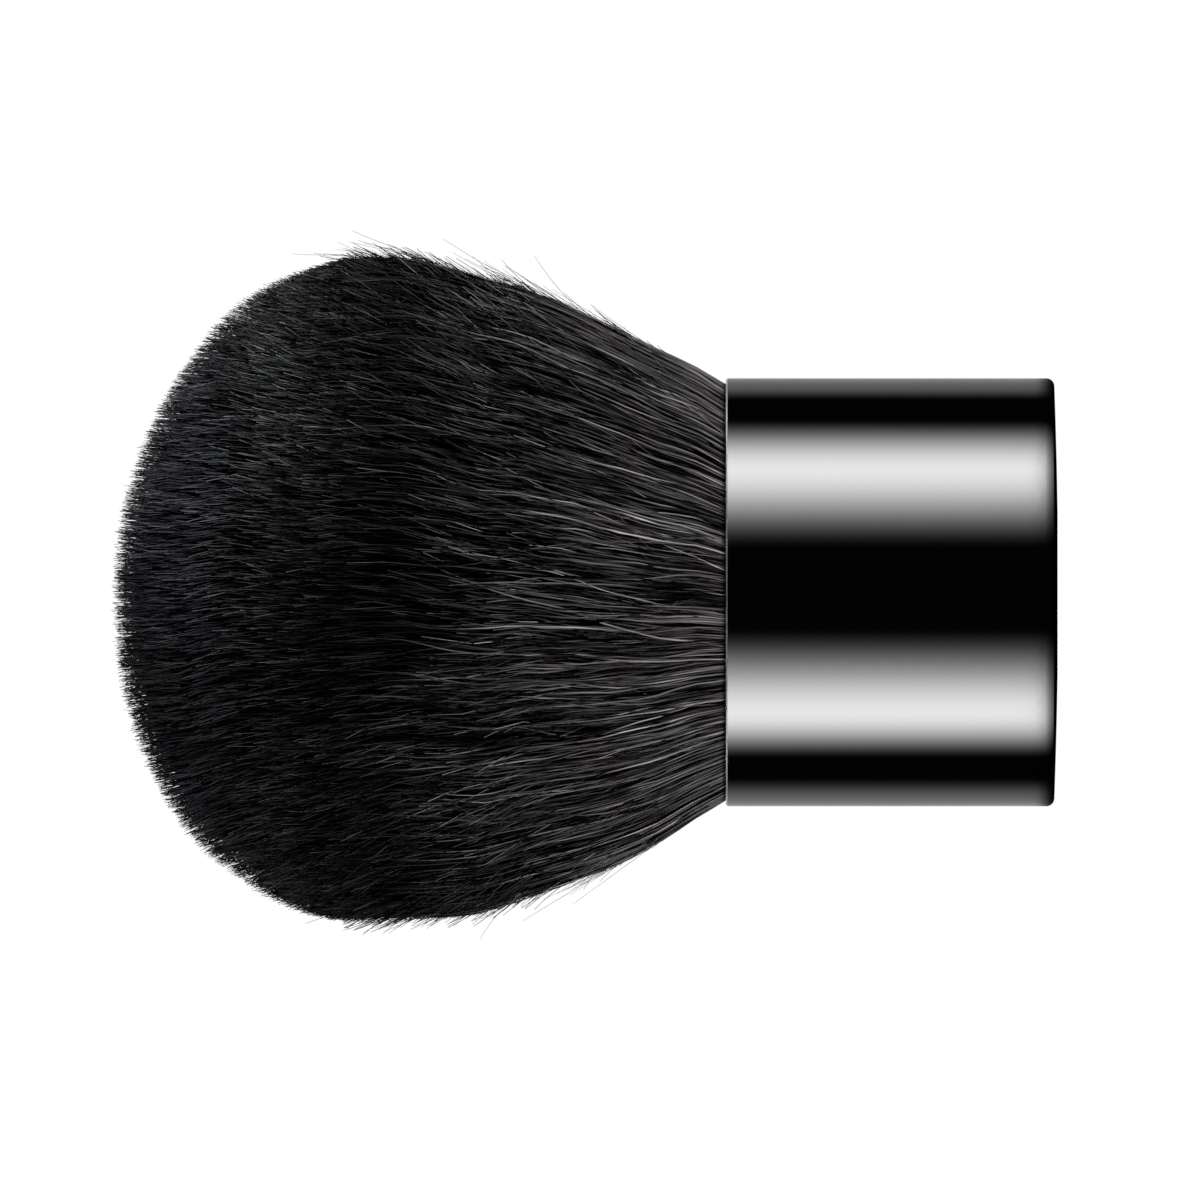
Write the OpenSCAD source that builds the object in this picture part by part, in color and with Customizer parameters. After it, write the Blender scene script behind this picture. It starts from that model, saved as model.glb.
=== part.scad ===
// Kabuki makeup brush, standing on the base of its ferrule with the hair up.
// The Z axis is the axis of the brush. The origin is the middle of the base.

/* [Ferrule] */
// Outside diameter of the ferrule
ferrule_d = 32; // [28:0.5:38]
// Height of the ferrule, from its base to its mouth
ferrule_h = 24.8; // [22:0.2:32]
// Thickness of the drawn side wall
ferrule_wall = 0.4; // [0.3:0.05:0.6]
// Thickness of the closed base at its middle
base_wall = 0.8; // [0.6:0.1:1.2]
// Diameter of the flat that the brush stands on
base_flat_d = 12; // [8:1:16]
// Radius of the shallow crown of the base, outside its flat
base_crown_r = 420; // [300:10:600]
// Radius of the rounded corner between base and side
base_corner_r = 0.6; // [0.3:0.1:0.8]
// Width of the bright bevel turned on the mouth
mouth_bevel = 0.12; // [0.05:0.01:0.2]

/* [Weight] */
// Diameter of the steel slug that weights the base
weight_d = 20; // [14:1:23]
// Height of the slug
weight_h = 9; // [5:0.5:9.5]
// Chamfer on both ends of the slug
weight_chamfer = 0.5; // [0.2:0.1:1]

/* [Core insert] */
// Wall of the moulded insert, outside and round the slug
core_wall = 1.4; // [1:0.1:1.6]
// Thickness of the insert's plate, between the slug and the cup
core_plate_t = 2.25; // [1.6:0.05:3]
// Ribs between the two walls of the insert
core_ribs = 6; // [4:1:10]
// Thickness of each rib
core_rib_t = 1; // [0.8:0.1:1.6]
// Gap between the insert and the side wall of the ferrule
core_gap = 0.1; // [0.05:0.05:0.3]
// Gap between the slug and its pocket in the insert
weight_gap = 0.1; // [0.05:0.05:0.3]
// Thickness of the glue between the base and what stands on it
base_glue_t = 0.15; // [0.1:0.05:0.4]

/* [Tuft cup] */
// Height of the cup that holds the root of the hair
cup_h = 11.6; // [9:0.2:11.8]
// Wall of the cup
cup_wall = 0.35; // [0.3:0.05:0.5]
// How far the rim of the cup lies below the mouth of the ferrule
cup_recess = 0.8; // [0.6:0.1:1.2]
// Thickness of the epoxy between the cup and the ferrule
cup_bond_t = 0.2; // [0.1:0.05:0.3]
// How far the epoxy stays below the rim of the cup
cup_bond_drop = 1.2; // [0.6:0.2:3]

/* [Hair root] */
// Thickness of the resin slice that carries the strands
root_slice_t = 1.4; // [1:0.1:2]
// Gap between that slice and the cup
root_slice_gap = 0.05; // [0.02:0.01:0.1]
// Height of the thread wound round the root
binding_h = 3.6; // [2:0.2:4.6]
// Thickness of the wound thread
binding_t = 0.7; // [0.4:0.1:1]
// How deep the wound thread lies below the skin of the root
binding_sink = 0.15; // [0.05:0.05:0.3]
// Height of the lower edge of the thread above the floor of the cup
binding_up = 3; // [1.6:0.2:3.2]

/* [Hair] */
// Length of hair that stands out of the mouth
hair_out = 45.6; // [36:0.2:52]
// Diameter of the head at its widest
head_d = 50.4; // [44:0.4:56]
// Height of the widest place above the mouth
belly_up = 25.7; // [20:0.1:30]
// How fast the hair leaves the mouth, where 1 is a straight flare
flare = 1.6; // [1.3:0.05:2]
// Rows of strands between the axis and the outside
strand_rows = 8; // [7:1:8]
// Share of its own room that each strand fills
strand_fill = 0.86; // [0.7:0.02:0.9]
// Length of the tapered point of each strand
point_l = 5; // [3:0.2:8]
// How far the points end above or below the dome
point_scatter = 0.5; // [0:0.1:0.8]
// How far a strand stands out of line, as a share of the space between rows
row_scatter = 0.24; // [0:0.02:0.3]

/* [Hidden] */
$fn = 128;

// Ferrule
ferrule_r = ferrule_d / 2;
bore_r = ferrule_r - ferrule_wall;
crown_start = asin(base_flat_d / 2 / base_crown_r);
crown_z = base_crown_r * cos(crown_start);
corner_x = ferrule_r - base_corner_r;
corner_z = crown_z - sqrt(pow(base_crown_r - base_corner_r, 2) - pow(corner_x, 2));
crown_end = atan2(corner_x, crown_z - corner_z);
arc_steps = 8;

// Stack of pieces in the ferrule, from the base up
core_z = base_wall + base_glue_t;
core_r = bore_r - core_gap;
cup_rim_z = ferrule_h - cup_recess;
// Slug, plate and cup share the room in the ferrule in proportion to their heights
stack_room = cup_rim_z - core_z - cup_bond_t;
stack_fit = stack_room / (weight_h + core_plate_t + cup_h);
slug_h = weight_h * stack_fit;
plate_t = core_plate_t * stack_fit;
core_h = slug_h + plate_t;
core_top_z = core_z + core_h;
cup_z = core_top_z + cup_bond_t;
cup_outer_h = cup_rim_z - cup_z;
pocket_r = weight_d / 2 + weight_gap;
cup_r = bore_r - cup_bond_t;
cup_bore_r = cup_r - cup_wall;
cup_floor_z = cup_z + cup_wall;
slice_r = cup_bore_r - root_slice_gap;
slice_z = cup_rim_z - root_slice_t;
binding_z = cup_floor_z + binding_up;
binding_r = cup_bore_r - binding_sink;
groove_r = binding_r - binding_t;

// Hair
belly_z = ferrule_h + belly_up;
dome_h = hair_out - belly_up;
head_r = head_d / 2;
// The round lattice that the strands stand on has this many like sectors
sectors = 6;
rim_points = sectors * strand_rows;
strand_count = sectors * strand_rows * strand_rows;
lattice_count = 1 + sectors * strand_rows * (strand_rows + 1) / 2;
seeds = [11, 23, 37];
point_moves = rands(-point_scatter, point_scatter, strand_count, seeds[0]);
row_moves = rands(-row_scatter, row_scatter, lattice_count, seeds[1]);
turn_moves = rands(-row_scatter, row_scatter, lattice_count, seeds[2]);
// Share of its height over the belly that a strand's point may take
point_share = 0.7;
// Shares of the flare at which the strands of the three outer rows bend
outer_bends = [[0.28, 0.6, 1], [0.28, 1], [1]];

// Ferrule can

function crown_point(a) = [base_crown_r * sin(a), crown_z - base_crown_r * cos(a)];

function corner_point(a) = [corner_x + base_corner_r * sin(a), corner_z - base_corner_r * cos(a)];

function steps_between(a, b) = [for (i = [0:arc_steps]) a + (b - a) * i / arc_steps];

module ferrule_can() {
    profile = concat(
        [[0, 0]],
        [for (a = steps_between(crown_start, crown_end)) crown_point(a)],
        [for (a = steps_between(crown_end, 90)) if (a > crown_end) corner_point(a)],
        [
            [ferrule_r, ferrule_h - mouth_bevel],
            [ferrule_r - mouth_bevel, ferrule_h],
            [bore_r, ferrule_h],
            [bore_r, base_wall],
            [0, base_wall]
        ]
    );
    color("#16171a") rotate_extrude() polygon(profile);
}

// Glue, weight and moulded insert in the lower half of the ferrule

module base_glue() {
    color("#c9b27a") translate([0, 0, base_wall]) cylinder(h = base_glue_t, r = core_r);
}

module weight_slug() {
    r = weight_d / 2;
    profile = [
        [0, 0],
        [r - weight_chamfer, 0],
        [r, weight_chamfer],
        [r, slug_h - weight_chamfer],
        [r - weight_chamfer, slug_h],
        [0, slug_h]
    ];
    color("#8d9196") translate([0, 0, core_z]) rotate_extrude() polygon(profile);
}

module ring(outer_r, inner_r, h) {
    difference() {
        cylinder(h = h, r = outer_r);
        translate([0, 0, -1]) cylinder(h = h + 2, r = inner_r);
    }
}

module core_insert() {
    rib_from = pocket_r + core_wall / 2;
    rib_l = core_r - core_wall / 2 - rib_from;
    color("#d8d6cf") translate([0, 0, core_z]) union() {
        ring(core_r, core_r - core_wall, core_h);
        ring(pocket_r + core_wall, pocket_r, core_h);
        translate([0, 0, slug_h]) cylinder(h = plate_t, r = core_r);
        for (i = [0:core_ribs - 1])
            rotate([0, 0, 360 * i / core_ribs])
                translate([rib_from, -core_rib_t / 2, 0])
                    cube([rib_l, core_rib_t, core_h]);
    }
}

// Cup that holds the root of the hair, and the epoxy round it

module cup_bond() {
    bond_h = cup_rim_z - cup_bond_drop - core_top_z;
    color("#b9a06a") translate([0, 0, core_top_z]) difference() {
        cylinder(h = bond_h, r = bore_r);
        translate([0, 0, cup_bond_t]) cylinder(h = bond_h, r = cup_r);
    }
}

module tuft_cup() {
    color("#b4b7ba") translate([0, 0, cup_z]) difference() {
        cylinder(h = cup_outer_h, r = cup_r);
        translate([0, 0, cup_wall]) cylinder(h = cup_outer_h, r = cup_bore_r);
    }
}

// Resin and hair that fill the cup, with the groove that the thread pulls in

module root_block() {
    profile = [
        [0, cup_floor_z],
        [cup_bore_r, cup_floor_z],
        [cup_bore_r, binding_z],
        [groove_r, binding_z],
        [groove_r, binding_z + binding_h],
        [cup_bore_r, binding_z + binding_h],
        [cup_bore_r, slice_z],
        [0, slice_z]
    ];
    color("#3a2f22") rotate_extrude() polygon(profile);
}

module root_binding() {
    color("#e6e1d4") translate([0, 0, binding_z]) ring(binding_r, groove_r, binding_h);
}

// Hair: a slice of the root that carries one strand in each cell of a round
// lattice. Every strand follows the same flare, so no two of them cross.

// Radius of the hair at a height, for a strand that stands at the outside
function hair_r(z) =
    z >= belly_z
        ? head_r
        : head_r - (head_r - slice_r) * pow(1 - (z - cup_rim_z) / (belly_z - cup_rim_z), flare);

// Height of the dome above a place, given as a share of the head's radius
function dome_z(share) = belly_z + dome_h * sqrt(max(0, 1 - share * share));

function lattice_index(row, i) =
    row == 0 ? 0 : 1 + sectors * row * (row - 1) / 2 + i % (sectors * row);

// Corner of the lattice, moved out of line by its share of a row and of a turn.
// The outermost row keeps to the circle.
function lattice_point(row, i) =
    let (
        n = lattice_index(row, i),
        r = row + (row < strand_rows ? row_moves[n] : 0),
        a = 360 / sectors * (i + turn_moves[n]) / max(1, row)
    )
        [r * cos(a), r * sin(a)] / strand_rows;

lattice = [for (row = [0:strand_rows], i = [0:max(0, sectors * row - 1)]) lattice_point(row, i)];

// Corners of a cell of one row, of which every second one points outward
function cell(row, sector, i) =
    let (k = floor(i / 2))
        i % 2 == 0
            ? [
                lattice_index(row, sector * row + k),
                lattice_index(row, sector * row + k + 1),
                lattice_index(row - 1, sector * (row - 1) + k)
            ]
            : [
                lattice_index(row - 1, sector * (row - 1) + k),
                lattice_index(row, sector * row + k + 1),
                lattice_index(row - 1, sector * (row - 1) + k + 1)
            ];

cells = [
    for (row = [1:strand_rows])
        for (sector = [0:sectors - 1])
            for (i = [0:2 * row - 2])
                cell(row, sector, i)
];

function cell_row(c) = floor(sqrt(c / sectors)) + 1;

function middle(c) = (lattice[cells[c][0]] + lattice[cells[c][1]] + lattice[cells[c][2]]) / 3;

// Height of the point of a strand
function point_z(c) = dome_z(norm(middle(c))) + point_moves[c];

function bends(c) =
    let (from_outside = strand_rows - cell_row(c))
        from_outside < len(outer_bends) ? outer_bends[from_outside] : [];

// Heights at which a strand has a ring of corners
function ring_heights(c) = concat(
    [cup_rim_z],
    [for (b = bends(c)) cup_rim_z + b * (belly_z - cup_rim_z)],
    [point_z(c) - min(point_l, point_share * (point_z(c) - belly_z))]
);

function ring_points(c, z) = [
    for (i = [0:2])
        let (at = middle(c) + strand_fill * (lattice[cells[c][i]] - middle(c)))
            [hair_r(z) * at[0], hair_r(z) * at[1], z]
];

function strand_points(c) = concat(
    [for (z = ring_heights(c)) each ring_points(c, z)],
    [[head_r * middle(c)[0], head_r * middle(c)[1], point_z(c)]]
);

function strand_size(c) = 3 * (len(bends(c)) + 2) + 1;

// Number of the first point of each strand, behind those of the slice
strand_starts = [
    for (c = 0, first = rim_points + lattice_count;
         c < strand_count;
         first = first + strand_size(c), c = c + 1)
        first
];

// Two triangles of a face whose corners a, b, c, d go clockwise seen from outside
function split(a, b, c, d) = [[a, b, c], [a, c, d]];

function strand_faces(c) =
    let (first = strand_starts[c], rings = len(bends(c)) + 2, tip = first + 3 * rings)
        concat(
            [
                for (i = [0:2])
                    let (j = (i + 1) % 3, from = rim_points + cells[c][i], to = rim_points + cells[c][j])
                        each split(from, first + i, first + j, to)
            ],
            [
                for (k = [0:rings - 2], i = [0:2])
                    let (j = (i + 1) % 3, low = first + 3 * k)
                        each split(low + i, low + 3 + i, low + 3 + j, low + j)
            ],
            [for (i = [0:2]) [tip - 3 + i, tip, tip - 3 + (i + 1) % 3]]
        );

slice_rim = [for (i = [0:rim_points - 1]) lattice[lattice_index(strand_rows, i)] * slice_r];

slice_faces = concat(
    [for (i = [1:rim_points - 2]) [0, i, i + 1]],
    [
        for (i = [0:rim_points - 1])
            let (j = (i + 1) % rim_points, top = rim_points + lattice_index(strand_rows, 0))
                each split(i, top + i, top + j, j)
    ]
);

module hair_tuft() {
    points = concat(
        [for (p = slice_rim) [p[0], p[1], slice_z]],
        [for (p = lattice) [p[0] * slice_r, p[1] * slice_r, cup_rim_z]],
        [for (c = [0:strand_count - 1]) each strand_points(c)]
    );
    faces = concat(slice_faces, [for (c = [0:strand_count - 1]) each strand_faces(c)]);
    color("#1b1a1b") polyhedron(points = points, faces = faces, convexity = 10);
}

ferrule_can();
base_glue();
weight_slug();
core_insert();
cup_bond();
tuft_cup();
root_block();
root_binding();
hair_tuft();
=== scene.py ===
"""Kabuki makeup brush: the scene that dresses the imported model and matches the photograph."""

import math

import bpy
import numpy as np
from mathutils import Matrix, Vector


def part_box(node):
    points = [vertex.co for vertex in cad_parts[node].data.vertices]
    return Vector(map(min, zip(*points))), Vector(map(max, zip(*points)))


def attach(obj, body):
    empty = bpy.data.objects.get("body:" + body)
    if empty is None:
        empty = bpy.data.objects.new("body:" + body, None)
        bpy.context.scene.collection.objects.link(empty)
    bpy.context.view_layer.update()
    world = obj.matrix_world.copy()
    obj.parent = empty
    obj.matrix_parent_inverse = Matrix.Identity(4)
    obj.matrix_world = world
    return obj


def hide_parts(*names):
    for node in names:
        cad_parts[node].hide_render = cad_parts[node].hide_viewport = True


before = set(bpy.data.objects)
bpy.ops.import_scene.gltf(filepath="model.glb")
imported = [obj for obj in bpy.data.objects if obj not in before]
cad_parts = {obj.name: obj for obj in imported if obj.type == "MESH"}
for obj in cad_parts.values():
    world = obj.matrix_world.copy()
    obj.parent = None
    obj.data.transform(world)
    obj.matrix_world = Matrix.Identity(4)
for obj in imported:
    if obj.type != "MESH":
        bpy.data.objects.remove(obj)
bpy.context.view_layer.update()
mm = 0.001

# Camera
# The photograph shows the brush lying, square from the side: the mouth of the
# ferrule is a straight line in it, so the view has no perspective. The brush
# stands here, so the camera looks along +Y and is rolled to put the hair left.

photo_pixels = 1200
ferrule_pixels = 428
ferrule_d = 32 * mm
pixel = ferrule_d / ferrule_pixels
# The brush's axis and the edge of its base in the photograph
axis_row = 592.3
base_column = 1057.6

camera_data = bpy.data.cameras.new("camera")
camera_data.type = "ORTHO"
camera_data.ortho_scale = photo_pixels * pixel
camera = bpy.data.objects.new("camera", camera_data)
camera_away = 0.4
camera_x = (axis_row - photo_pixels / 2) * pixel
camera_z = (base_column - photo_pixels / 2) * pixel
camera_turn = Matrix(((0, 1, 0), (0, 0, -1), (-1, 0, 0))).to_4x4()
camera.matrix_world = Matrix.Translation((camera_x, -camera_away, camera_z)) @ camera_turn
bpy.context.scene.collection.objects.link(camera)
bpy.context.scene.camera = camera
bpy.context.scene.view_settings.view_transform = "Standard"


# Studio
# A matte white table in an even white room gives the plain level. The lacquer
# needs more: it mirrors a ring of black cloth with one tall strip light each
# side of the camera. Only reflections see that ring.


def node(tree, kind, inputs=None, **settings):
    """Adds a node. A socket in inputs gets a value, or a link from another node's socket."""
    made = tree.nodes.new(kind)
    for name, value in settings.items():
        setattr(made, name, value)
    for name, value in (inputs or {}).items():
        if isinstance(value, bpy.types.NodeSocket):
            tree.links.new(value, made.inputs[name])
        else:
            made.inputs[name].default_value = value
    return made


def linear(code):
    """The linear colour of an sRGB hex code."""
    parts = [int(code[i : i + 2], 16) / 255 for i in (1, 3, 5)]
    return [p / 12.92 if p <= 0.04045 else ((p + 0.055) / 1.055) ** 2.4 for p in parts] + [1]


def empty_material(name):
    """A material and its empty node tree."""
    made = bpy.data.materials.new(name)
    made.use_nodes = True
    made.node_tree.nodes.clear()
    return made, made.node_tree


def smooth_step(tree, value, start, end, low=0.0, high=1.0):
    """Goes softly from low to high as value goes from start to end."""
    ranges = {"From Min": start, "From Max": end, "To Min": low, "To Max": high}
    return node(
        tree,
        "ShaderNodeMapRange",
        {"Value": value, **ranges},
        interpolation_type="SMOOTHSTEP",
    ).outputs["Result"]


def math_node(tree, operation, *values):
    """One step of arithmetic on values or sockets."""
    return node(tree, "ShaderNodeMath", dict(enumerate(values)), operation=operation).outputs[0]


def mesh_object(name, vertices, faces):
    """A smooth mesh from lists of vertices and faces."""
    mesh = bpy.data.meshes.new(name)
    mesh.from_pydata([tuple(v) for v in vertices], [], [tuple(f) for f in faces])
    mesh.shade_smooth()
    made = bpy.data.objects.new(name, mesh)
    bpy.context.scene.collection.objects.link(made)
    return made


# The table is white laminate with a matte face, so it looks pale and even
table_half = 0.7
table_corners = [
    (x * table_half, y * table_half, 0) for x, y in ((-1, -1), (1, -1), (1, 1), (-1, 1))
]
table = mesh_object("table", table_corners, [(0, 1, 2, 3)])
table_material, tree = empty_material("white_laminate_matte")
shade = node(tree, "ShaderNodeBsdfDiffuse", {"Color": linear("#f4f4f4")})
node(tree, "ShaderNodeOutputMaterial", {"Surface": shade.outputs[0]})
table.data.materials.append(table_material)
table.visible_glossy = False

# The room is white where it is seen or mirrored, and dimmer as a light
world = bpy.data.worlds.new("white_room")
bpy.context.scene.world = world
world.use_nodes = True
tree = world.node_tree
tree.nodes.clear()
path = node(tree, "ShaderNodeLightPath")
seen = math_node(tree, "MAXIMUM", path.outputs["Is Camera Ray"], path.outputs["Is Glossy Ray"])
seen = math_node(tree, "MAXIMUM", seen, path.outputs["Is Transmission Ray"])
room_level = 0.65
level = math_node(tree, "MAXIMUM", seen, room_level)
room = node(tree, "ShaderNodeBackground", {"Color": linear("#ffffff"), "Strength": level})
node(tree, "ShaderNodeOutputWorld", {"Surface": room.outputs[0]})

# One large soft light each side of the camera
key_size = 0.8
key_aim = Vector((0, 0, 0.035))
for number, side, power in ((1, 1, 7.5), (2, -1, 8.0)):
    key_data = bpy.data.lights.new(f"soft_key_{number}", "AREA")
    key_data.energy = power
    key_data.size = key_size
    key = bpy.data.objects.new(f"soft_key_{number}", key_data)
    key.location = (side * 0.88, -0.42, 0.4)
    key.rotation_euler = (key_aim - key.location).to_track_quat("-Z", "Y").to_euler()
    key.visible_glossy = False
    bpy.context.scene.collection.objects.link(key)

# The ring stands round the brush and is closed below. Its pattern is laid out by
# the slope of the lacquer that mirrors it to the camera, as twice the slope's
# angle round the brush. A strip of light fades in from its start to its peak,
# and out to its end. The cloth behind the brush is lit a little too.
ring_r = 0.6
ring_low = -0.75
ring_high = 0.75
ring_sides = 96
angles = [2 * math.pi * i / ring_sides for i in range(ring_sides)]
ring_points = [
    (ring_r * math.cos(a), ring_r * math.sin(a), z) for z in (ring_low, ring_high) for a in angles
]
next_side = [(i + 1) % ring_sides for i in range(ring_sides)]
ring_faces = [(i, j, ring_sides + j, ring_sides + i) for i, j in enumerate(next_side)]
ring_faces.append(range(ring_sides))
ring = mesh_object("light_ring", ring_points, ring_faces)
ring_material, tree = empty_material("studio_cloth_with_strip_lights")
place = node(tree, "ShaderNodeTexCoord").outputs["Object"]
slope = node(tree, "ShaderNodeVectorMath", {0: place}, operation="NORMALIZE").outputs[0]
slope = node(tree, "ShaderNodeVectorMath", {0: slope, 1: (0, -1, 0)}, operation="ADD").outputs[0]
slope = node(tree, "ShaderNodeVectorMath", {0: slope}, operation="NORMALIZE").outputs[0]
slope = node(tree, "ShaderNodeSeparateXYZ", {0: slope})
toward_camera = math_node(tree, "MULTIPLY", slope.outputs["Y"], -1.0)
azimuth = math_node(tree, "DEGREES", math_node(tree, "ARCTAN2", slope.outputs["X"], toward_camera))
strip_level = 18.4
back_end = 143.0
strips = 0.0
back = 0.0
for side, start, peak, end, back_start, back_level in (
    (1.0, 21.5, 68.0, 108.0, 126.0, 0.42),
    (-1.0, 17.0, 67.0, 102.0, 118.0, 0.51),
):
    turned = math_node(tree, "MULTIPLY", azimuth, 2 * side)
    rise = math_node(tree, "POWER", smooth_step(tree, turned, start, peak), 1.5)
    fall = math_node(tree, "POWER", smooth_step(tree, turned, peak, end, 1.0, 0.0), 1.6)
    strip = math_node(tree, "MULTIPLY", math_node(tree, "MULTIPLY", rise, fall), strip_level)
    strips = math_node(tree, "ADD", strips, strip)
    lit_cloth = smooth_step(tree, turned, back_start, back_end, 0.0, back_level)
    back = math_node(tree, "ADD", back, lit_cloth)
# The light fades out over the last 2 mm above the table, which darkens the foot
# of the ferrule. Below that it goes on at half level, and fades as the ferrule's
# rounded corner slopes down. Slopes that face away from the camera mirror no strip.
height = node(tree, "ShaderNodeSeparateXYZ", {0: place}).outputs["Z"]
foot = smooth_step(tree, height, -0.05 * mm, 1.8 * mm)
flatness = math_node(tree, "ADD", slope.outputs["Z"], 1.0)
corner = math_node(tree, "MULTIPLY", math_node(tree, "POWER", flatness, 1.3), 0.5)
fade = math_node(tree, "MAXIMUM", foot, corner)
strips = math_node(tree, "MULTIPLY", strips, smooth_step(tree, toward_camera, 0.2, 0.4))
light = math_node(tree, "MULTIPLY_ADD", back, fade, strips)
light = math_node(tree, "MULTIPLY", light, fade)
glow = node(tree, "ShaderNodeEmission", {"Color": linear("#ffffff"), "Strength": light})
node(tree, "ShaderNodeOutputMaterial", {"Surface": glow.outputs[0]})
ring.data.materials.append(ring_material)
ring.visible_camera = False
ring.visible_diffuse = False
ring.visible_transmission = False
ring.visible_volume_scatter = False
ring.visible_shadow = False


# Ferrule can
# Aluminium, deep-drawn in one piece with its closed base, then dipped in
# gloss black lacquer, which mirrors like dark glass. The mouth is turned to a
# bevel after that, so a thin bright line of bare metal is left round it.


def mix_colour(tree, factor, first, second):
    """Goes from the first colour to the second as factor goes from 0 to 1."""
    return node(tree, "ShaderNodeMix", {0: factor, 6: first, 7: second}, data_type="RGBA").outputs[2]


def dress(name, material):
    """Gives a CAD node its material."""
    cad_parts[name].material_slots[0].material = material


def principled(tree, inputs):
    """A surface from one principled shader."""
    shader = node(tree, "ShaderNodeBsdfPrincipled", inputs)
    node(tree, "ShaderNodeOutputMaterial", {"Surface": shader.outputs[0]})


mouth_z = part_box("ferrule_can")[1][2]
mouth_bevel = 0.12 * mm
lacquer, tree = empty_material("aluminium_gloss_black_lacquer")
place = node(tree, "ShaderNodeTexCoord").outputs["Object"]
z = node(tree, "ShaderNodeSeparateXYZ", {0: place}).outputs["Z"]
bare = math_node(tree, "GREATER_THAN", z, mouth_z - mouth_bevel)
# Lacquer that has flowed out leaves a very faint orange peel, about 1.1 mm wide
peel_per_mm = 0.9
peel = node(tree, "ShaderNodeTexNoise", {"Vector": place, "Scale": peel_per_mm / mm, "Detail": 1})
bump = node(tree, "ShaderNodeBump", {"Height": peel.outputs[0], "Strength": 0.01, "Distance": 0.02 * mm})
colour = mix_colour(tree, bare, linear("#020202"), linear("#c4c4c4"))
# The turned bevel is duller than the lacquer
finish_roughness = math_node(tree, "MULTIPLY_ADD", bare, 0.3, 0.02)
principled(
    tree,
    {
        "Base Color": colour,
        "Metallic": bare,
        "Roughness": finish_roughness,
        "IOR": 1.5,
        "Normal": bump.outputs[0],
    },
)
dress("ferrule_can", lacquer)


# Base glue
# A film of amber contact adhesive, poured on the floor of the can. It holds
# the slug and the moulded insert. It looks glossy, and cloudy in patches of
# about 4 mm.


def mottled(name, first, second, per_mm, roughness, metallic=0.0, grain=0.0):
    """A material whose colour and relief vary in patches, so many of them to a millimetre."""
    made, tree = empty_material(name)
    place = node(tree, "ShaderNodeTexCoord").outputs["Object"]
    patches = node(tree, "ShaderNodeTexNoise", {"Vector": place, "Scale": per_mm / mm, "Detail": 3})
    noise = patches.outputs[0]
    bump = node(tree, "ShaderNodeBump", {"Height": noise, "Strength": grain, "Distance": 0.1 * mm})
    principled(
        tree,
        {
            "Base Color": mix_colour(tree, noise, linear(first), linear(second)),
            "Roughness": roughness,
            "Metallic": metallic,
            "Normal": bump.outputs[0],
        },
    )
    return made


dress("base_glue", mottled("contact_adhesive_set_amber", "#a58344", "#dcc994", 0.26, 0.3))


# Weight slug
# Mild steel bar, sawn and faced, then dropped in the pocket of the insert. It
# looks grey and satin, with marks of about 1 mm, coarser than real tool marks.

steel = mottled("mild_steel_faced", "#8b8d90", "#a3a5a8", 0.9, 0.35, metallic=1.0, grain=0.2)
dress("weight_slug", steel)


# Core insert
# Moulded in off-white polypropylene, which looks soft and waxy with a faintly
# uneven skin. It fills the lower half of the thin can and is pressed down into
# the glue over the slug.

moulded = mottled("polypropylene_moulded_matte", "#d3d1c9", "#dddbd4", 0.7, 0.45, grain=0.15)
dress("core_insert", moulded)


# Cup bond
# Two-part epoxy, run into the can before the cup goes in, so it ends as a
# film under the cup and round it. It looks glossy, in two tones of amber where
# it was mixed by hand.

dress("cup_bond", mottled("epoxy_set_amber", "#9c8350", "#c2ab77", 0.3, 0.25))


# Tuft cup
# Thin aluminium, drawn and left bare, so it looks satin and a little uneven.
# The bundle of hair is set in it before it goes into the can.

drawn_cup = mottled("aluminium_drawn_bare", "#a9abae", "#bfc1c3", 1.4, 0.38, metallic=1.0, grain=0.15)
dress("tuft_cup", drawn_cup)


# Root block
# The hair's root, soaked in resin in the cup and set hard. It looks dark brown
# and rough, with locks of hair just under the resin.

dress("root_block", mottled("resin_bonded_hair_root", "#1d1914", "#3b3126", 1.2, 0.4, grain=0.4))


# Root binding
# Waxed polyester thread, wound round the root before the resin is poured. It
# looks off-white and ribbed, one rib to each turn of the thread.

binding, tree = empty_material("polyester_thread_wound_waxed")
place = node(tree, "ShaderNodeTexCoord").outputs["Object"]
thread_pitch = 0.4 * mm
# The Wave node repeats in this length at a scale of 1
wave_length = 0.314
turns = node(
    tree,
    "ShaderNodeTexWave",
    {"Vector": place, "Scale": wave_length / thread_pitch, "Distortion": 0.3},
    bands_direction="Z",
)
lay = node(tree, "ShaderNodeBump", {"Height": turns.outputs[1], "Strength": 0.8, "Distance": 0.1 * mm})
principled(
    tree,
    {
        "Base Color": mix_colour(tree, turns.outputs[1], linear("#c9c3b3"), linear("#ece7da")),
        "Roughness": 0.55,
        "Normal": lay.outputs[0],
    },
)
dress("root_binding", binding)


# Hair tuft
# Fine crimped synthetic fibre, dyed black with a warm cast at the root and a
# cool one at the tips. The bundle is shaken in a domed mould before its root
# is bound, so the tips make the dome and nothing is cut.

rng = np.random.default_rng(5)
# The head is round. Its outside leaves the mouth fast, is widest at the belly
# and closes in half an ellipse.
rim_z = mouth_z - 0.8 * mm
rim_r = 15.0 * mm
belly_z = mouth_z + 25.7 * mm
belly_r = 24.9 * mm
dome_h = 19.75 * mm
tip_z = belly_z + dome_h
flare = 1.72
# How much wider the bundle spreads over the height of the dome
dome_spread = 0.035
# The angle that the bundle turns, most of it over this height above the mouth
swirl_turn = 0.11
swirl_height = 9 * mm
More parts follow.
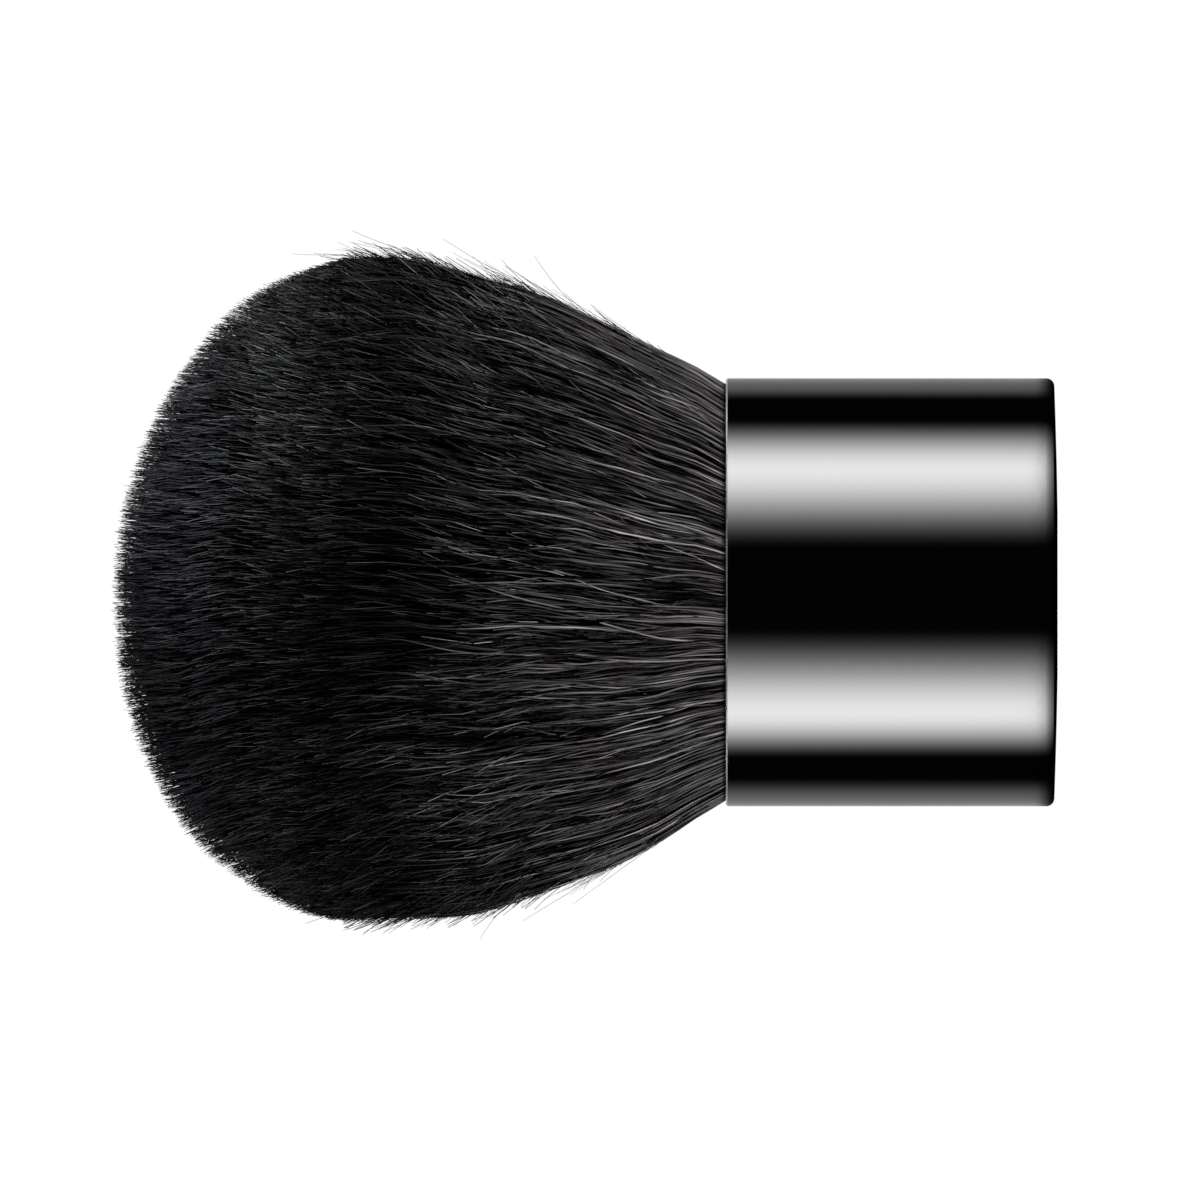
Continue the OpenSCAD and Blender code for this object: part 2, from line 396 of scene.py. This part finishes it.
# The head leans a little, as the photograph shows: heights above the base and
# the shift toward +X there
lean_heights = np.array([24, 27, 30, 34, 40, 43, 49, 53, 56, 62, 65, 71]) * mm
lean_shifts = np.array([0, 0, -0.3, -0.3, -0.05, -0.2, 0.35, 0.25, 0.05, 0.15, -0.4, -0.5]) * mm


def bundle_radius(z):
    """Radius at which the outermost fibres run, at a height."""
    below = np.clip((belly_z - z) / (belly_z - rim_z), 0, 1)
    above = np.clip((z - belly_z) / dome_h, 0, None)
    return belly_r - (belly_r - rim_r) * below**flare + belly_r * dome_spread * above**1.5


def dome_height(share):
    """Height of the dome above a fibre that runs at that share of the bundle's radius."""
    return belly_z + dome_h * np.sqrt(np.clip(1 - share**2, 0, 1))


def swirl(z):
    """The angle by which the bundle has turned where it fans out of the mouth."""
    return swirl_turn * (1 - np.exp(-(z - rim_z) / swirl_height))


def dome_share(z):
    """The share of the bundle's radius that the dome keeps at a height."""
    return np.sqrt(1 - np.clip((z - belly_z) / dome_h, 0, 0.98) ** 2)


def lean(points):
    """Shifts points of the head by its lean."""
    shift = np.interp(points[..., 2], lean_heights, lean_shifts)
    return points + shift[..., None] * np.array([1, 0, 0])


def ripple(angle, z, seed, fine=1):
    """Smooth chance values from about -1 to 1, alike for fibres that lie side by side."""
    waves = np.random.default_rng(seed)
    total = np.zeros(np.broadcast(angle, z).shape)
    for _ in range(9):
        around = waves.integers(3 * fine, 40 * fine)
        along = waves.uniform(-1, 1) * 500 * fine
        total = total + np.sin(around * angle + along * z + waves.uniform(0, 2 * math.pi))
    return total / 4


def fibre_mesh(name, paths, radii, shades):
    """One mesh of three-sided fibres. paths is fibres x rings x 3, the rest fibres x rings."""
    paths = lean(paths)
    count, rings, _ = paths.shape
    along = np.gradient(paths, axis=1)
    along /= np.linalg.norm(along, axis=2, keepdims=True)
    outward = paths * (1, 1, 0)
    side = np.cross(along, outward + (1e-6, 0, 0))
    side /= np.linalg.norm(side, axis=2, keepdims=True)
    front = np.cross(side, along)
    turns = 2 * math.pi * (np.arange(3) / 3 + rng.random((count, 1, 1)))
    spread = np.cos(turns)[..., None] * side[:, :, None] + np.sin(turns)[..., None] * front[:, :, None]
    points = paths[:, :, None] + spread * radii[:, :, None, None]

    first = 3 * rings * np.arange(count)[:, None, None]
    ring = 3 * np.arange(rings - 1)[None, :, None]
    here = first + ring + np.arange(3)
    there = first + ring + (np.arange(3) + 1) % 3
    quads = np.stack([here, there, there + 3, here + 3], axis=-1).reshape(-1, 4)
    root = first[:, 0] + np.array([2, 1, 0])
    tip = first[:, 0] + 3 * (rings - 1) + np.arange(3)
    corners = np.concatenate([quads.ravel(), root.ravel(), tip.ravel()])
    triangle_starts = 4 * len(quads) + 3 * np.arange(2 * count)
    starts = np.concatenate([4 * np.arange(len(quads)), triangle_starts])

    mesh = bpy.data.meshes.new(name)
    mesh.vertices.add(points.size // 3)
    mesh.vertices.foreach_set("co", points.ravel())
    mesh.loops.add(len(corners))
    mesh.loops.foreach_set("vertex_index", corners)
    mesh.polygons.add(len(starts))
    mesh.polygons.foreach_set("loop_start", starts)
    mesh.update(calc_edges=True)
    mesh.shade_smooth()

    # Each fibre has its own cell of the map, with its root at the low end and a
    # margin round it
    margin = 0.08
    inside = 1 - 2 * margin
    grid = math.ceil(math.sqrt(count))
    cell = np.stack([np.arange(count) % grid, np.arange(count) // grid], axis=-1)
    across = np.broadcast_to(np.arange(3) / 3, (count, rings, 3))
    up = np.broadcast_to(np.linspace(0, 1, rings)[None, :, None], (count, rings, 3))
    flat = (cell[:, None, None] + margin + inside * np.stack([across, up], axis=-1)) / grid
    uv = mesh.uv_layers.new(name="OFBake")
    uv.data.foreach_set("uv", flat.reshape(-1, 2)[corners].ravel())

    layer = mesh.attributes.new("shade", "FLOAT", "POINT")
    shades = np.repeat(shades, 3, axis=1)
    layer.data.foreach_set("value", shades.ravel().astype(np.float32))

    made = bpy.data.objects.new(name, mesh)
    bpy.context.scene.collection.objects.link(made)
    mesh.materials.append(hair_material)
    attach(made, "root")
    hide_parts("hair_tuft")


def crimp(count, rings, size, length, pitch):
    """Sideways waves of crimped fibres, which start from nothing at the root."""
    steps = np.linspace(0, 1, rings)[None]
    phase = 2 * math.pi * rng.random((count, 1))
    waves = length[:, None] / pitch * (0.7 + 0.6 * rng.random((count, 1)))
    return size * np.sin(2 * math.pi * waves * steps + phase) * np.minimum(1, 4 * steps)


def bent_paths(angle, share_from, share_to, z_from, z_to, rings, turn, waves, lift, bow=1.0):
    """Paths of fibres that follow the bundle from one share of its radius to another."""
    steps = np.linspace(0, 1, rings)[None]
    z = z_from[:, None] + (z_to - z_from)[:, None] * steps
    share = share_from[:, None] + (share_to - share_from)[:, None] * steps**bow
    r = share * bundle_radius(z) + lift
    a = angle[:, None] + swirl(z) + turn[:, None] * steps + waves / np.maximum(r, 4 * mm)
    return np.stack([r * np.cos(a), r * np.sin(a), z], axis=-1)


def chance_shades(angle, place, depth, rings):
    """How light each fibre is at each ring: painted shade where it lies deep, and a random tone as it
    took the dye.
    """
    locks = 0.12 * ripple(angle, place, 51) + 0.15 * ripple(angle, place, 57, fine=5)
    own = 0.25 * ripple(angle, place, 58, fine=40) + 0.75 * rng.standard_normal(len(angle))
    flecks = rng.standard_normal((len(angle), rings + 2))
    flecks = (flecks[:, 2:] + flecks[:, 1:-1] + flecks[:, :-2]) / 1.73
    chance = (own + locks)[:, None] + 0.8 * flecks
    # Dark fibres lie much further from the mean than light ones
    contrast = np.where(chance > 0, 0.8, 3.2)
    return np.clip(np.exp(chance * contrast - depth), 0.001, 7)


# Dyed fibre, dull and without gloss. It is a warm grey by the mouth, darkest above the belly, and cool
# at the tips:
# the warm and cool casts are the dye, and the lighter mouth and darker belly are partly dye and partly
# painted light and shade. No two fibres took the dye quite alike, which the attribute shade gives, along
# with painted shade.
hair_material, tree = empty_material("crimped_fibre_dyed_black_painted_light_and_shade")
shade = node(tree, "ShaderNodeAttribute", attribute_name="shade").outputs["Fac"]
place = node(tree, "ShaderNodeTexCoord").outputs["Object"]
across, _, z = node(tree, "ShaderNodeSeparateXYZ", {0: place}).outputs
height = math_node(tree, "DIVIDE", z, tip_z)
ramp = node(tree, "ShaderNodeValToRGB", {0: height})
dye_and_light_stops = [
    (25, "#5d5a5b"),
    (33, "#545152"),
    (40, "#454445"),
    (46, "#2b2b2b"),
    (50, "#161616"),
    (54, "#101010"),
    (59, "#1a1a1a"),
    (65, "#222225"),
    (70, "#1b1b1d"),
]
stops = ramp.color_ramp.elements
while len(stops) < len(dye_and_light_stops):
    stops.new(0.5)
for stop, (at, code) in zip(stops, dye_and_light_stops):
    stop.position = at * mm / tip_z
    stop.color = linear(code)
# Locks of about 6 mm lean to a cooler or a warmer black
tints_per_mm = 0.16
tints = {"Vector": place, "Scale": tints_per_mm / mm, "Detail": 2}
tints = node(tree, "ShaderNodeTexNoise", tints).outputs[0]
tints = smooth_step(tree, tints, 0.35, 0.65)
tint = mix_colour(tree, tints, linear("#f4fafa"), linear("#fff9f9"))
# The fibres differ least where they are packed in the mouth, and where the tips
# are worn even
contrast = smooth_step(tree, z, 28 * mm, 42 * mm, 0.86, 1.14)
contrast = math_node(tree, "ADD", contrast, smooth_step(tree, z, 61 * mm, 66 * mm, 0.0, -0.16))
shade = math_node(tree, "POWER", shade, contrast)
# Painted shade darkens the root where it goes into the mouth. The rest is painted light and shade by
# side: below the belly both sides are a little darker, at the belly they are lighter than the front and
# back, past it the side toward +X is lighter and the side toward -X darker, and below the belly the far
# -X side of the flank is darker.
root = smooth_step(tree, z, mouth_z, mouth_z + 0.4 * mm, 0.1, 1.0)
past_flank = smooth_step(tree, z, 47 * mm, 58 * mm)
side = smooth_step(tree, across, -12 * mm, 14 * mm, -0.3, 1.3)
side = math_node(tree, "MULTIPLY_ADD", side, past_flank, 1.0)
away = smooth_step(tree, math_node(tree, "ABSOLUTE", across), 2 * mm, 14 * mm)
belly = smooth_step(tree, z, 40 * mm, 54 * mm, -0.2, 1.1)
belly = math_node(tree, "ADD", belly, smooth_step(tree, z, 57 * mm, 63 * mm, 0.0, -1.1))
side = math_node(tree, "MULTIPLY", side, math_node(tree, "MULTIPLY_ADD", away, belly, 1.0))
edge = smooth_step(tree, across, -22 * mm, -16 * mm, -0.6, 0.0)
edge = math_node(tree, "MULTIPLY", edge, smooth_step(tree, z, 34 * mm, 41 * mm))
edge = math_node(tree, "MULTIPLY", edge, smooth_step(tree, z, 49 * mm, 54 * mm, 1.0, 0.0))
side = math_node(tree, "MULTIPLY_ADD", side, edge, side)
lightness = math_node(tree, "MULTIPLY", shade, math_node(tree, "MULTIPLY", root, side))
dyed = node(tree, "ShaderNodeVectorMath", {0: ramp.outputs[0], 1: tint}, operation="MULTIPLY").outputs[0]
dyed = node(tree, "ShaderNodeVectorMath", {0: dyed, "Scale": lightness}, operation="SCALE").outputs[0]
principled(
    tree,
    {
        "Base Color": dyed,
        "Roughness": 0.45,
        "Specular IOR Level": 0.0,
    },
)

# The mass of hair under its outer layers, as one closed form. Its near-black colour is
# painted shade, for the shade in the gaps between the outer fibres. Its streaks are 0.2 mm wide, 25
# times as long, and coarser than real fibres.
mass_rings = 90
mass_sides = 256
mass_inset = 1.3 * mm
mass_dome_inset = 1.2 * mm
mass_foot_r = 14.4 * mm
mass_top_r = 0.2 * mm
streaks_per_mm = 4.5
mass_shade_material, tree = empty_material("crimped_fibre_packed_painted_shade")
place = node(tree, "ShaderNodeTexCoord").outputs["Object"]
drawn = node(tree, "ShaderNodeVectorMath", {0: place, 1: (1, 1, 0.04)}, operation="MULTIPLY").outputs[0]
streaks = {"Vector": drawn, "Scale": streaks_per_mm / mm, "Detail": 2}
streaks = node(tree, "ShaderNodeTexNoise", streaks).outputs[0]
relief = node(tree, "ShaderNodeBump", {"Height": streaks, "Strength": 0.6, "Distance": 0.1 * mm})
principled(
    tree,
    {
        "Base Color": mix_colour(tree, streaks, linear("#010101"), linear("#060606")),
        "Roughness": 0.6,
        "Specular IOR Level": 0.0,
        "Normal": relief.outputs[0],
    },
)
mass_h = dome_h - mass_dome_inset
flank_z = np.linspace(rim_z, belly_z, mass_rings // 2, endpoint=False)
quarter = np.linspace(0, math.pi / 2, mass_rings // 2)
profile_z = np.concatenate([flank_z, belly_z + mass_h * np.sin(quarter)])
profile_rise = np.clip((profile_z - belly_z) / mass_h, 0, 1)
profile_r = (bundle_radius(np.minimum(profile_z, belly_z)) - mass_inset) * np.sqrt(1 - profile_rise**2)
profile_r[0] = mass_foot_r
profile_r[-1] = mass_top_r
angles = 2 * math.pi * np.arange(mass_sides) / mass_sides
circle = np.stack([np.cos(angles), np.sin(angles)], axis=-1)
mass_points = np.empty((len(profile_z), mass_sides, 3))
mass_points[..., :2] = profile_r[:, None, None] * circle
mass_points[..., 2] = profile_z[:, None]
mass_points = lean(mass_points).reshape(-1, 3)
next_side = [(i + 1) % mass_sides for i in range(mass_sides)]
mass_faces = [
    (low + i, low + j, low + mass_sides + j, low + mass_sides + i)
    for low in range(0, len(mass_points) - mass_sides, mass_sides)
    for i, j in enumerate(next_side)
]
mass_faces.append(range(mass_sides - 1, -1, -1))
mass_faces.append(range(len(mass_points) - mass_sides, len(mass_points)))
mass = mesh_object("hair_mass", mass_points, mass_faces)
mass.data.materials.append(mass_shade_material)
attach(mass, "root")
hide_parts("hair_tuft")

# The outer coat: long fibres from the mouth. Some end on the flank and the
# rest reach the dome. Fibres are drawn about half as thick again as real ones.
coat_pieces = 8
coat_count = 1500
coat_rings = 22
# How deep the coat is, as a share of the bundle's radius
coat_depth = 0.16
# Which share of its fibres reach the dome, end loosely or cross the others
reaching = 0.6
loosely = 0.15
crosswise = 0.2
for piece in range(coat_pieces):
    angle = 2 * math.pi * rng.random(coat_count)
    reaches_dome = rng.random(coat_count) < reaching
    depth = rng.random(coat_count) ** 1.3
    ends_at = mouth_z + (5 + 28 * rng.random(coat_count) ** 0.7) * mm
    share_from = 1 - coat_depth * depth - np.where(reaches_dome, 0, 0.015)
    loose = (rng.random(coat_count) < loosely) * np.abs(rng.standard_normal(coat_count))
    share_at_end = np.interp(ends_at, [mouth_z, belly_z], [1.0, 0.965]) * dome_share(ends_at)
    share_to = np.where(reaches_dome, 0.985 - 0.12 * depth, share_at_end + 0.008 * loose)
    share_to = share_to + 0.008 * rng.standard_normal(coat_count)
    z_to = np.where(reaches_dome, dome_height(np.minimum(share_to, 0.999)), ends_at)
    z_to = z_to + (0.3 * rng.standard_normal(coat_count) - 0.2) * mm
    z_from = np.full(coat_count, rim_z + 0.15 * mm)
    crossing = (rng.random(coat_count) < crosswise) * rng.standard_normal(coat_count)
    turn = 0.07 * rng.standard_normal(coat_count) + 0.2 * crossing
    turn = turn + 0.04 * ripple(angle, depth * mm, 21, fine=2)
    waves = crimp(coat_count, coat_rings, 0.12 * mm, z_to - z_from, 13 * mm)
    waves = waves + crimp(coat_count, coat_rings, 0.06 * mm, z_to - z_from, 6 * mm)
    # Tips on the flank turn outward
    steps = np.linspace(0, 1, coat_rings)[None]
    coat_share = share_from[:, None] + (share_to - share_from)[:, None] * steps
    kick = np.where(reaches_dome, 0.1, 0.4 + 0.8 * loose)[:, None] * mm
    kick = kick * rng.random((coat_count, 1)) * steps**7
    lift = crimp(coat_count, coat_rings, 0.08 * mm, z_to - z_from, 9 * mm) + kick
    paths = bent_paths(angle, share_from, share_to, z_from, z_to, coat_rings, turn, waves, lift)
    thickness = np.interp(steps, [0, 0.6, 1], [1, 0.9, 0.25])
    radii = (0.043 + 0.034 * rng.random((coat_count, 1))) * mm * thickness
    # Painted shade on each ring, darker the further it lies below the surface of the bundle
    below_surface = np.clip(dome_share(paths[..., 2]) - coat_share, 0, coat_depth)
    shades = chance_shades(angle, depth * 2 * mm, 44 * below_surface, coat_rings)
    fibre_mesh(f"hair_coat_{piece + 1}", paths, radii, shades)

# The dome: the last stretch of the fibres whose tips make the round end. Those
# near the rim lean outward, and only the ends are out in the light. One in five
# ends at the belly instead.
dome_pieces = 5
dome_count = 5200
dome_rings = 7
# Painted shade on each ring of a fibre, for how far it lies out of the light, from its root to its tip
dome_shade = 1.5 * np.linspace(1, 0, dome_rings)[None] ** 1.5
ending_at_belly = 0.2
# The outermost fibres of the dome, as a share of the bundle's radius
dome_edge = 0.99
for piece in range(dome_pieces):
    angle = 2 * math.pi * rng.random(dome_count)
    by_height = rng.random(dome_count) < 0.5
    share_flat = np.sqrt(rng.random(dome_count))
    share_steep = np.sqrt(1 - rng.random(dome_count) ** 2)
    share_to = np.where(by_height, share_steep, share_flat) * dome_edge
    unevenness = 0.22 * mm * ripple(angle, share_to * 30 * mm, 33, fine=2)
    below_top = rng.exponential(0.35, dome_count) * mm
    z_to = dome_height(share_to) + unevenness + 0.4 * mm - below_top
    at_belly = rng.random(dome_count) < ending_at_belly
    z_belly = belly_z + (3 - 14 * rng.random(dome_count) ** 1.3) * mm
    share_belly = dome_edge + 0.022 * np.minimum(np.abs(rng.standard_normal(dome_count)), 2)
    share_to = np.where(at_belly, share_belly, share_to)
    z_to = np.where(at_belly, z_belly, z_to)
    length = (8 + 10 * rng.random(dome_count)) * mm
    z_from = z_to - length
    share_from = share_to - 0.12 * share_to**3 - 0.02 + 0.03 * rng.standard_normal(dome_count)
    share_from = np.clip(share_from, 0, 0.93)
    turn = 0.04 * rng.standard_normal(dome_count) / np.maximum(share_to, 0.2)
    waves = crimp(dome_count, dome_rings, 0.15 * mm, length, 8 * mm)
    lift = crimp(dome_count, dome_rings, 0.15 * mm, length, 8 * mm)
    paths = bent_paths(
        angle, share_from, share_to, z_from, z_to, dome_rings, turn, waves, lift, bow=1.8
    )
    thickness = np.interp(np.linspace(0, 1, dome_rings), [0, 0.6, 1], [1, 0.9, 0.3])
    radii = (0.045 + 0.03 * rng.random((dome_count, 1))) * mm * thickness
    # Painted shade on the buried part of each fibre, less for the outermost ones
    buried = dome_shade * (1 - 0.5 * share_to[:, None] ** 4)
    shades = chance_shades(angle, share_to * 6 * mm, buried, dome_rings)
    fibre_mesh(f"hair_dome_{piece + 1}", paths, radii, shades)

# Single fibres that stand away from the flank in small groups, and run on
# straight where the others curve in. Most groups are on the +X side, a few on
# the -X side, and the rest anywhere.
stray_groups = 34
stray_each = 4
stray_rings = 8
stray_count = stray_groups * stray_each
group_spread = 0.13
side_of_group = rng.random(stray_groups)
near_side = group_spread * rng.standard_normal(stray_groups)
far_side = math.pi + group_spread * rng.standard_normal(stray_groups)
anywhere = 2 * math.pi * rng.random(stray_groups)
side_chosen = [side_of_group < 0.5, side_of_group > 0.85]
group_angle = np.select(side_chosen, [near_side, far_side], anywhere)
group_z = mouth_z + (4 + 21 * rng.random(stray_groups)) * mm
lies_close = np.repeat(rng.random(stray_groups) < 0.4, stray_each)
angle = np.repeat(group_angle, stray_each) + 0.04 * rng.standard_normal(stray_count)
z_from = np.repeat(group_z, stray_each) + 0.8 * mm * rng.standard_normal(stray_count)
stray_length = (3 + 4 * rng.random(stray_count)) * mm * np.interp(z_from, [40 * mm, 50 * mm], [1, 0.6])
stray_length = stray_length * np.where(lies_close, 1.5, 1)
start_r = bundle_radius(z_from) - np.where(lies_close, 0.1, 0.5) * mm
surface_lean = np.arctan((bundle_radius(z_from + mm) - bundle_radius(z_from)) / mm)
steep = 0.4 * surface_lean + np.radians(19 + 9 * rng.random(stray_count))
away = np.where(lies_close, surface_lean + np.radians(2 + 4 * rng.random(stray_count)), steep)
steps = np.linspace(0, 1, stray_rings)[None]
travel = stray_length[:, None] * steps
curl = np.where(lies_close, 0.04, 0.12)[:, None] * rng.standard_normal((stray_count, 1)) * steps
r = start_r[:, None] + travel * np.sin(away[:, None] + curl)
a = angle[:, None] + 0.04 * rng.standard_normal((stray_count, 1)) * steps
z = z_from[:, None] + travel * np.cos(away[:, None] + curl)
stray_paths = np.stack([r * np.cos(a), r * np.sin(a), z], axis=-1)
thickness = np.interp(steps, [0, 1], [1, 0.4]) * np.ones((stray_count, 1))
stray_shades = (1 + rng.random((stray_count, 1))) * np.ones((1, stray_rings))
stray_r = 0.028 * mm
fibre_mesh("hair_strays", stray_paths, stray_r * thickness, stray_shades)
